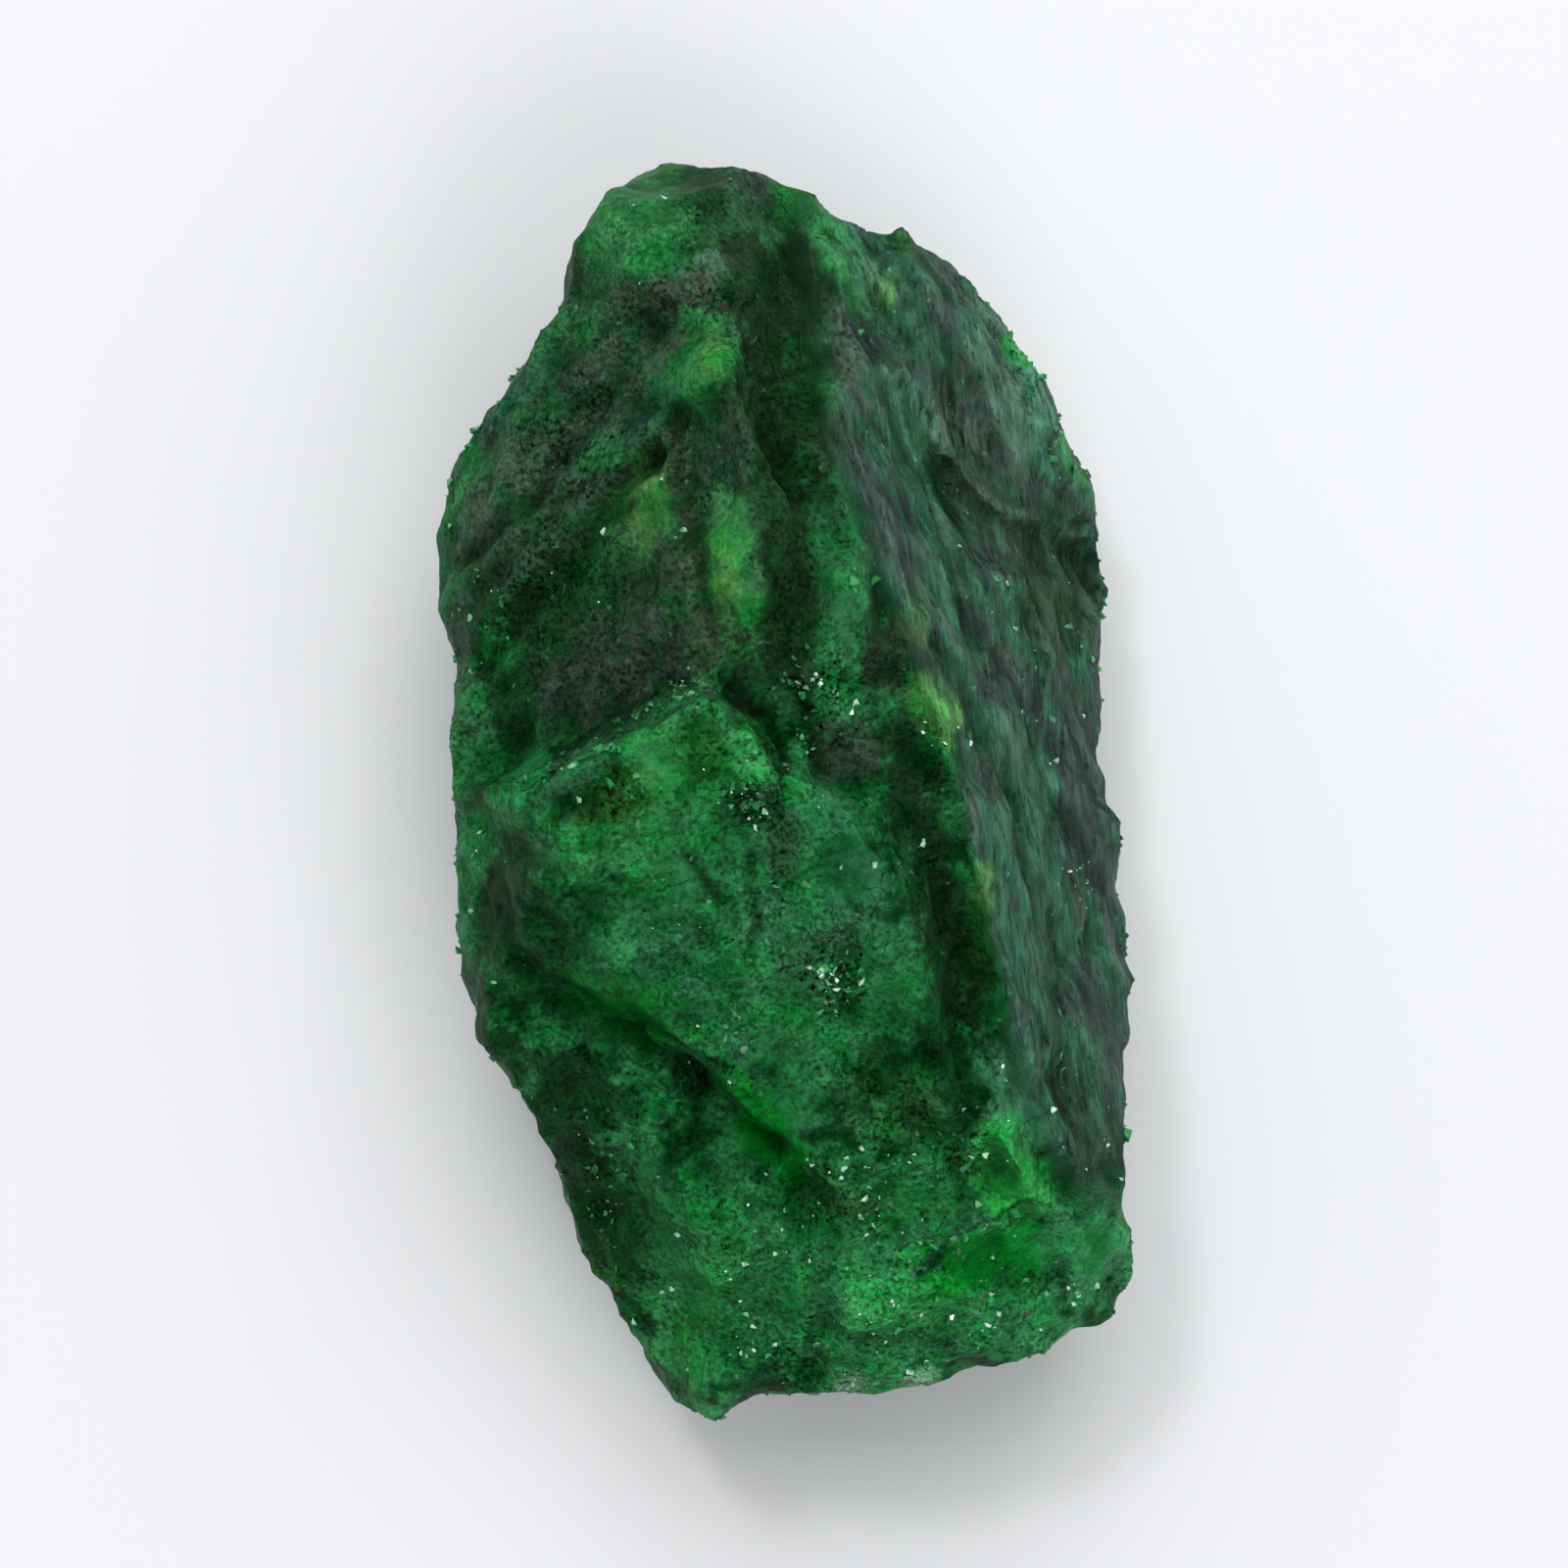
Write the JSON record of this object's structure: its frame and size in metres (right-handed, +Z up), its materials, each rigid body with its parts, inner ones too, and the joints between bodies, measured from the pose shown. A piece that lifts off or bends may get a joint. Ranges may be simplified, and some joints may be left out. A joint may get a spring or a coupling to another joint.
{
  "type": "rough emerald",
  "caption": "Rough uncut emerald, a broken elongated stone with a long crest, a ledged slab and a flat fracture underneath on which it lies.",
  "frame": {"origin": "centre of the stone's footprint box, on the flat fracture that it lies on", "axes": "+Y along the stone, from the broken lower end to the rounded head; +Z up, away from the flat fracture; +X towards the smooth striated flank"},
  "size_m": [0.0266, 0.0478, 0.0214],
  "materials": {
    "emerald": "satin"
  },
  "bodies": {
    "root": {"rough_emerald": "emerald"}
  },
  "joints": []
}
